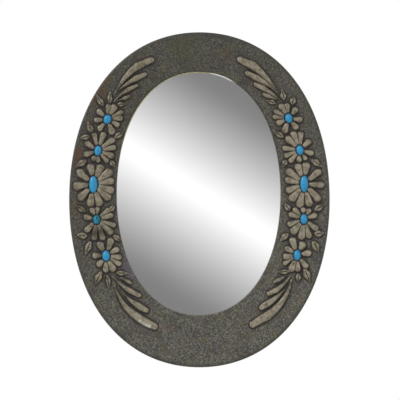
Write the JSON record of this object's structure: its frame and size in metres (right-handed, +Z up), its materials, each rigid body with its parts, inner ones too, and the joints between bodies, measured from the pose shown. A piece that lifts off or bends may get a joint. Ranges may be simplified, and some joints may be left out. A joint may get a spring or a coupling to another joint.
{
  "type": "wall mirror",
  "caption": "Oval wall mirror in a wide embossed tin frame with flower sprays and turquoise stones down both sides, hung from a ring on its back.",
  "frame": {"origin": "the hang point: where the top inside of the hanging ring meets the wall plane, under the nail", "axes": "+X to the viewer's right, the front faces -Y, +Z up; the wall is the plane Y = 0"},
  "size_m": [0.311, 0.0237, 0.4],
  "materials": {
    "tin": "dark patina, relief rubbed bright",
    "turquoise": "polished",
    "mirror": "silvered glass",
    "wood": "raw board",
    "card": "grey card",
    "hardboard": "raw hardboard",
    "brass": "dulled",
    "steel": "zinc plated",
    "zinc": "zinc plated",
    "felt": "felt"
  },
  "bodies": {
    "frame": {"frame_core": "wood", "tin_cover": "tin", "mirror_glass": "mirror", "padding_card": "card", "backing_board": "hardboard", "button_screws": "steel", "cover_tacks": "steel", "hanger_strap": "zinc", "hanger_screw": "steel", "wall_pads": "felt", "stone_left_1": "turquoise", "stone_left_2": "turquoise", "stone_left_3": "turquoise", "stone_left_4": "turquoise", "stone_left_5": "turquoise", "stone_right_1": "turquoise", "stone_right_2": "turquoise", "stone_right_3": "turquoise", "stone_right_4": "turquoise", "stone_right_5": "turquoise"},
    "ring": {"hanging_ring": "zinc"},
    "button_1": {"turn_button_1": "brass"},
    "button_2": {"turn_button_2": "brass"},
    "button_3": {"turn_button_3": "brass"},
    "button_4": {"turn_button_4": "brass"},
    "button_5": {"turn_button_5": "brass"},
    "button_6": {"turn_button_6": "brass"}
  },
  "joints": [
    {"name": "ring_swing", "type": "hinge", "parent": "frame", "child": "ring", "pos_m": [0, -0.0038, -0.0104], "axis": [-1, 0, 0], "range_deg": [0, 165]},
    {"name": "button_1_turn", "type": "hinge", "parent": "frame", "child": "button_1", "pos_m": [0.112, -0.00515, -0.181], "axis": [0, 1, 0], "continuous": true},
    {"name": "button_2_turn", "type": "hinge", "parent": "frame", "child": "button_2", "pos_m": [0.05821, -0.00515, -0.04108], "axis": [0, 1, 0], "continuous": true},
    {"name": "button_3_turn", "type": "hinge", "parent": "frame", "child": "button_3", "pos_m": [-0.06021, -0.00515, -0.04108], "axis": [0, 1, 0], "continuous": true},
    {"name": "button_4_turn", "type": "hinge", "parent": "frame", "child": "button_4", "pos_m": [-0.114, -0.00515, -0.181], "axis": [0, 1, 0], "continuous": true},
    {"name": "button_5_turn", "type": "hinge", "parent": "frame", "child": "button_5", "pos_m": [-0.06021, -0.00515, -0.32092], "axis": [0, 1, 0], "continuous": true},
    {"name": "button_6_turn", "type": "hinge", "parent": "frame", "child": "button_6", "pos_m": [0.05821, -0.00515, -0.32092], "axis": [0, 1, 0], "continuous": true}
  ]
}
